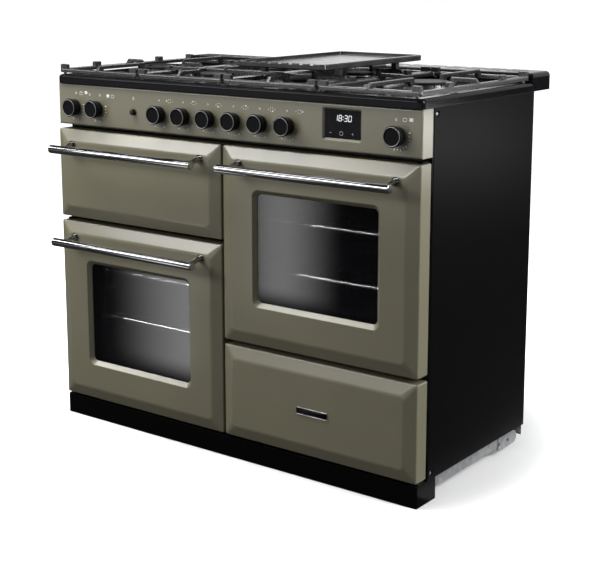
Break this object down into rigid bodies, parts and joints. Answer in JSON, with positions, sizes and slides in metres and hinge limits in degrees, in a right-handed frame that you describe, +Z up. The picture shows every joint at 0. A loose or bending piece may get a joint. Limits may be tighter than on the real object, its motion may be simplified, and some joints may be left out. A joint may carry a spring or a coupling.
{
  "type": "dual fuel range cooker",
  "caption": "Freestanding range cooker with a gas hob on cast pan supports, a griddle, a drop-down grill, side-hinged ovens with windows and a storage drawer.",
  "frame": {"origin": "on the floor under the middle of the outline", "axes": "+Z up, the doors face -Y, +X to the right of someone in front of it"},
  "size_m": [1.092, 0.6735, 0.961],
  "materials": {
    "olive_enamel": "satin",
    "black_enamel": "gloss",
    "black_panel": "satin",
    "cast_iron": "matt",
    "chrome": "polished",
    "galvanised": "satin",
    "glass": "polished",
    "burner_alloy": "satin",
    "brass": "satin",
    "black_plastic": "satin",
    "display": "gloss",
    "liner_enamel": "gloss",
    "wire": "polished",
    "element": "satin",
    "seal": "matt",
    "ceramic": "satin"
  },
  "bodies": {
    "cooker_body": {"base_frame": "galvanised", "levelling_feet": "black_plastic", "plinth": "black_panel", "side_panels": "black_panel", "back_panel": "galvanised", "casing_screws": "galvanised", "front_frame": "black_enamel", "hotplate": "black_enamel", "flue_trim": "black_enamel", "control_panel": "olive_enamel", "clock_display": "display", "burner_heads": "burner_alloy", "burner_caps": "black_enamel", "spark_electrodes": "ceramic", "gas_pipework": "galvanised", "gas_taps": "brass", "oven_switches": "black_plastic", "grill_liner": "liner_enamel", "left_oven_liner": "liner_enamel", "right_oven_liner": "liner_enamel", "shelf_runners": "wire", "oven_shelves": "wire", "oven_elements": "element", "fan_cover": "liner_enamel", "grill_carriage": "wire", "grill_pan": "liner_enamel", "grill_trivet": "wire", "oven_door_seals": "seal", "door_hinges": "black_panel", "drawer_rails": "galvanised"},
    "grill_door": {"grill_door_skin": "olive_enamel", "grill_door_liner": "black_enamel", "grill_door_handle": "chrome"},
    "left_oven_door": {"left_door_skin": "olive_enamel", "left_door_liner": "black_enamel", "left_door_glass": "glass", "left_door_handle": "chrome"},
    "right_oven_door": {"right_door_skin": "olive_enamel", "right_door_liner": "black_enamel", "right_door_glass": "glass", "right_door_handle": "chrome"},
    "storage_drawer": {"drawer_front": "olive_enamel", "drawer_box": "black_enamel"},
    "rollers": {"rear_rollers": "black_plastic"},
    "fan": {"oven_fan": "galvanised"},
    "button": {"light_button": "black_plastic"},
    "griddle_plate": {"griddle": "cast_iron"},
    "support_1": {"pan_support_1": "cast_iron"},
    "support_2": {"pan_support_2": "cast_iron"},
    "support_3": {"pan_support_3": "cast_iron"},
    "support_4": {"pan_support_4": "cast_iron"},
    "grill_knob_body": {"grill_knob": "black_plastic"},
    "left_oven_knob_body": {"left_oven_knob": "black_plastic"},
    "right_oven_knob_body": {"right_oven_knob": "black_plastic"},
    "hob_knob_1_body": {"hob_knob_1": "black_plastic"},
    "hob_knob_2_body": {"hob_knob_2": "black_plastic"},
    "hob_knob_3_body": {"hob_knob_3": "black_plastic"},
    "hob_knob_4_body": {"hob_knob_4": "black_plastic"},
    "hob_knob_5_body": {"hob_knob_5": "black_plastic"},
    "hob_knob_6_body": {"hob_knob_6": "black_plastic"}
  },
  "joints": [
    {"name": "grill_door_hinge", "type": "hinge", "parent": "cooker_body", "child": "grill_door", "pos_m": [-0.274, -0.24125, 0.5605], "axis": [1, 0, 0], "range_deg": [0, 90]},
    {"name": "left_oven_door_hinge", "type": "hinge", "parent": "cooker_body", "child": "left_oven_door", "pos_m": [-0.532, -0.24125, 0.29225], "axis": [0, 0, -1], "range_deg": [0, 110]},
    {"name": "right_oven_door_hinge", "type": "hinge", "parent": "cooker_body", "child": "right_oven_door", "pos_m": [0.532, -0.24125, 0.53225], "axis": [0, 0, 1], "range_deg": [0, 110]},
    {"name": "drawer_slide", "type": "slide", "parent": "cooker_body", "child": "storage_drawer", "axis": [0, -1, 0], "range_m": [0, 0.33]},
    {"name": "rear_roller_spin", "type": "hinge", "parent": "cooker_body", "child": "rollers", "pos_m": [0, 0.20275, 0.017], "axis": [1, 0, 0], "continuous": true},
    {"name": "oven_fan_spin", "type": "hinge", "parent": "cooker_body", "child": "fan", "pos_m": [0.274, 0.19275, 0.53225], "axis": [0, 1, 0], "continuous": true},
    {"name": "hob_knob_1_turn", "type": "hinge", "parent": "cooker_body", "child": "hob_knob_1_body", "pos_m": [-0.197, -0.25925, 0.824], "axis": [0, -1, 0], "range_deg": [0, 220]},
    {"name": "hob_knob_2_turn", "type": "hinge", "parent": "cooker_body", "child": "hob_knob_2_body", "pos_m": [-0.1194, -0.25925, 0.824], "axis": [0, -1, 0], "range_deg": [0, 220]},
    {"name": "hob_knob_3_turn", "type": "hinge", "parent": "cooker_body", "child": "hob_knob_3_body", "pos_m": [-0.0418, -0.25925, 0.824], "axis": [0, -1, 0], "range_deg": [0, 220]},
    {"name": "hob_knob_4_turn", "type": "hinge", "parent": "cooker_body", "child": "hob_knob_4_body", "pos_m": [0.0358, -0.25925, 0.824], "axis": [0, -1, 0], "range_deg": [0, 220]},
    {"name": "hob_knob_5_turn", "type": "hinge", "parent": "cooker_body", "child": "hob_knob_5_body", "pos_m": [0.1134, -0.25925, 0.824], "axis": [0, -1, 0], "range_deg": [0, 220]},
    {"name": "hob_knob_6_turn", "type": "hinge", "parent": "cooker_body", "child": "hob_knob_6_body", "pos_m": [0.191, -0.25925, 0.824], "axis": [0, -1, 0], "range_deg": [0, 220]},
    {"name": "grill_knob_turn", "type": "hinge", "parent": "cooker_body", "child": "grill_knob_body", "pos_m": [-0.486, -0.25925, 0.824], "axis": [0, 1, 0], "range_deg": [0, 270]},
    {"name": "left_oven_knob_turn", "type": "hinge", "parent": "cooker_body", "child": "left_oven_knob_body", "pos_m": [-0.408, -0.25925, 0.824], "axis": [0, 1, 0], "range_deg": [0, 270]},
    {"name": "right_oven_knob_turn", "type": "hinge", "parent": "cooker_body", "child": "right_oven_knob_body", "pos_m": [0.484, -0.25925, 0.824], "axis": [0, 1, 0], "range_deg": [0, 270]},
    {"name": "light_button_push", "type": "slide", "parent": "cooker_body", "child": "button", "axis": [0, 1, 0], "range_m": [0, 0.003], "stiffness_N_per_m": 300},
    {"name": "pan_support_1_lift", "type": "slide", "parent": "cooker_body", "child": "support_1", "axis": [0, 0, 1], "range_m": [0, 0.1]},
    {"name": "pan_support_2_lift", "type": "slide", "parent": "cooker_body", "child": "support_2", "axis": [0, 0, 1], "range_m": [0, 0.1]},
    {"name": "pan_support_3_lift", "type": "slide", "parent": "cooker_body", "child": "support_3", "axis": [0, 0, 1], "range_m": [0, 0.1]},
    {"name": "pan_support_4_lift", "type": "slide", "parent": "cooker_body", "child": "support_4", "axis": [0, 0, 1], "range_m": [0, 0.1]},
    {"name": "griddle_lift", "type": "slide", "parent": "support_3", "child": "griddle_plate", "axis": [0, 0, 1], "range_m": [0, 0.1]}
  ]
}
